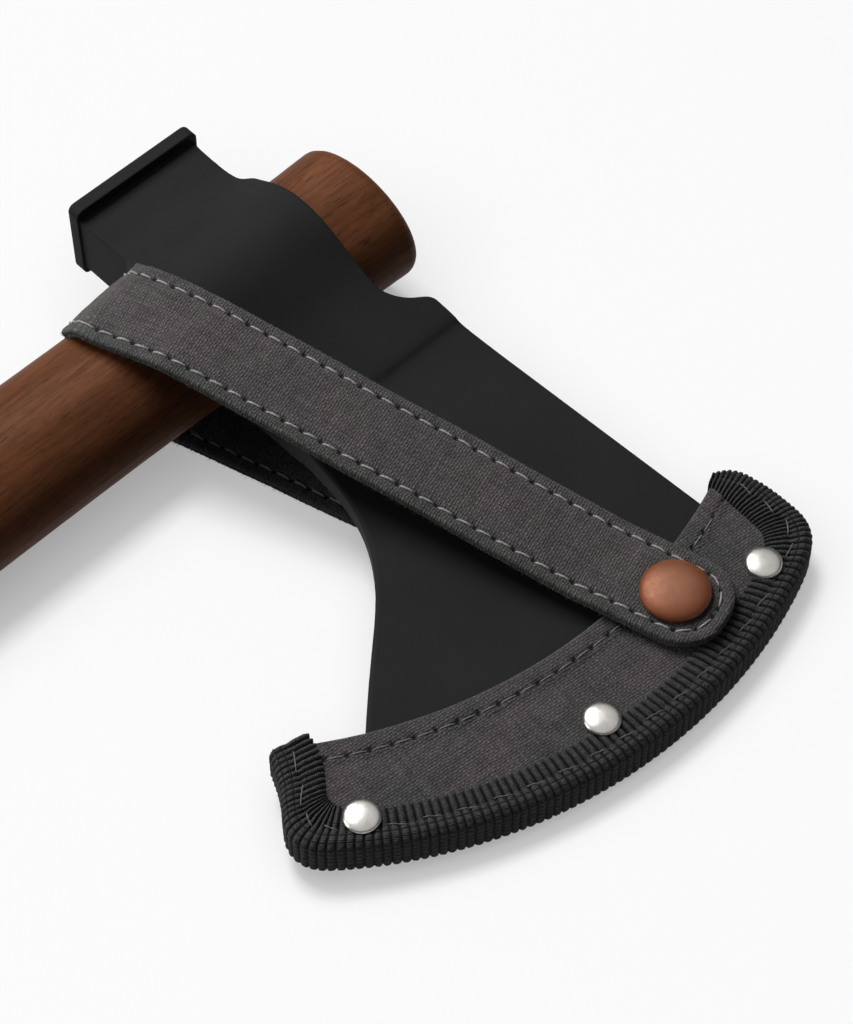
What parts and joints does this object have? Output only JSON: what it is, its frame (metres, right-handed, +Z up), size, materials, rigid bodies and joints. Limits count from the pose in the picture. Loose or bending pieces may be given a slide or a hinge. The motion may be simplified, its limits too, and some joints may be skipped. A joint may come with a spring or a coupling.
{
  "type": "carving hatchet",
  "caption": "Carving hatchet with a bearded head slipped on an oval wooden handle, its bit in a bound canvas sheath held by a snapped strap.",
  "frame": {"origin": "centre of the whole hatchet's box on the table that it lies on", "axes": "+Z up from the table, +Y along the handle towards its top, +X across the head towards the cutting edge; the head leans 5.5 degrees about +Y, bit down"},
  "size_m": [0.1896, 0.4083, 0.0425],
  "materials": {
    "black_coated_steel": "matte black baked coating",
    "stained_walnut": "red-brown stain, oiled",
    "waxed_canvas": "dark grey waxed canvas",
    "strap_canvas": "dark grey waxed canvas, two plies",
    "binding_tape": "black ribbed grosgrain tape",
    "guard_leather": "dark vegetable-tanned welt",
    "polished_nickel": "polished nickel plate",
    "copper_cap": "satin antique copper"
  },
  "bodies": {
    "head": {"head": "black_coated_steel"},
    "handle": {"handle": "stained_walnut"},
    "sheath": {"sheath_front_panel": "waxed_canvas", "sheath_back_panel": "waxed_canvas", "edge_guard": "guard_leather", "binding_tape": "binding_tape", "rivet_caps": "polished_nickel", "rivet_back_caps": "polished_nickel", "rivet_posts": "polished_nickel", "snap_stud": "polished_nickel", "snap_stud_rivet": "polished_nickel", "strap_back_inner": "strap_canvas", "strap_back_outer": "strap_canvas"},
    "strap_wrap": {"strap_wrap_inner": "strap_canvas", "strap_wrap_outer": "strap_canvas"},
    "strap_front": {"strap_front_inner": "strap_canvas", "strap_front_outer": "strap_canvas", "snap_socket": "polished_nickel", "snap_cap_post": "polished_nickel", "snap_cap": "copper_cap"}
  },
  "joints": [
    {"name": "handle_slide", "type": "slide", "parent": "head", "child": "handle", "axis": [0, 1, 0], "range_m": [0, 0.375]},
    {"name": "sheath_off", "type": "slide", "parent": "head", "child": "sheath", "axis": [1, 0, 0], "range_m": [0, 0.06]},
    {"name": "strap_open", "type": "hinge", "parent": "sheath", "child": "strap_wrap", "pos_m": [-0.06914, 0.12935, 0.00532], "axis": [0.2756, -0.9613, 0], "range_deg": [0, 95.2], "deforming": ["strap_wrap_inner", "strap_wrap_outer"]},
    {"name": "strap_fold", "type": "hinge", "parent": "strap_wrap", "child": "strap_front", "pos_m": [-0.06588, 0.12935, 0.03916], "axis": [0.2756, -0.9613, 0], "range_deg": [0, 95.2], "deforming": ["strap_front_inner", "strap_front_outer"]}
  ],
  "couplings": [
    {"joint": "strap_open", "follows": "sheath_off", "rad_per_m": 27.634},
    {"joint": "strap_fold", "follows": "sheath_off", "rad_per_m": 27.634}
  ]
}
